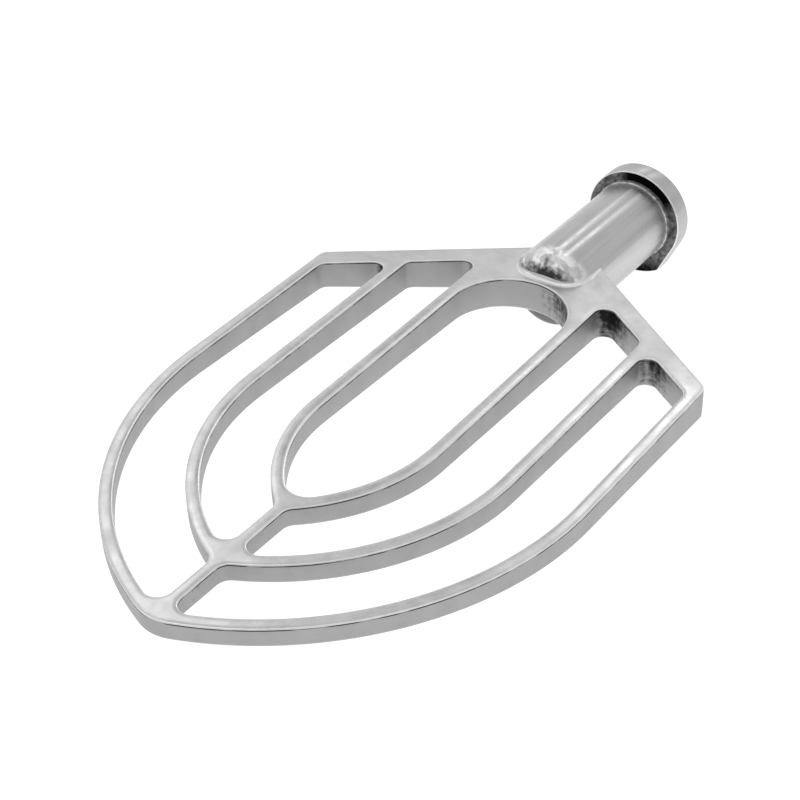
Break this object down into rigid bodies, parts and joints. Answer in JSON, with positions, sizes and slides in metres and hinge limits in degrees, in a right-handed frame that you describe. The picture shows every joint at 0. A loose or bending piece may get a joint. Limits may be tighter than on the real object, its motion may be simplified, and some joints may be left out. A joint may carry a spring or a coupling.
{
  "type": "flat beater",
  "caption": "Open leaf-shaped flat beater in cast aluminium with nested bars, a hollow drive shank and a bayonet collar for a planetary mixer.",
  "frame": {"origin": "centre of the shank's mouth, on the drive axis", "axes": "+Y along the drive axis, out of the shank's mouth; +Z square to the blade, away from the collar's lobe; +X across the blade"},
  "size_m": [0.2, 0.3569, 0.0535],
  "materials": {
    "cast_aluminium": "polished casting",
    "turned_aluminium": "brushed along the drive axis",
    "bush_steel": "fine turned"
  },
  "bodies": {
    "root": {"drive_shank": "turned_aluminium", "inner_loop": "cast_aluminium", "liner_bush": "bush_steel", "lower_spine": "cast_aluminium", "middle_loop": "cast_aluminium", "nose_fillet": "cast_aluminium", "outer_loop": "cast_aluminium", "shank_collar": "turned_aluminium", "shoulder_web": "cast_aluminium", "upper_spine": "cast_aluminium"}
  },
  "joints": []
}
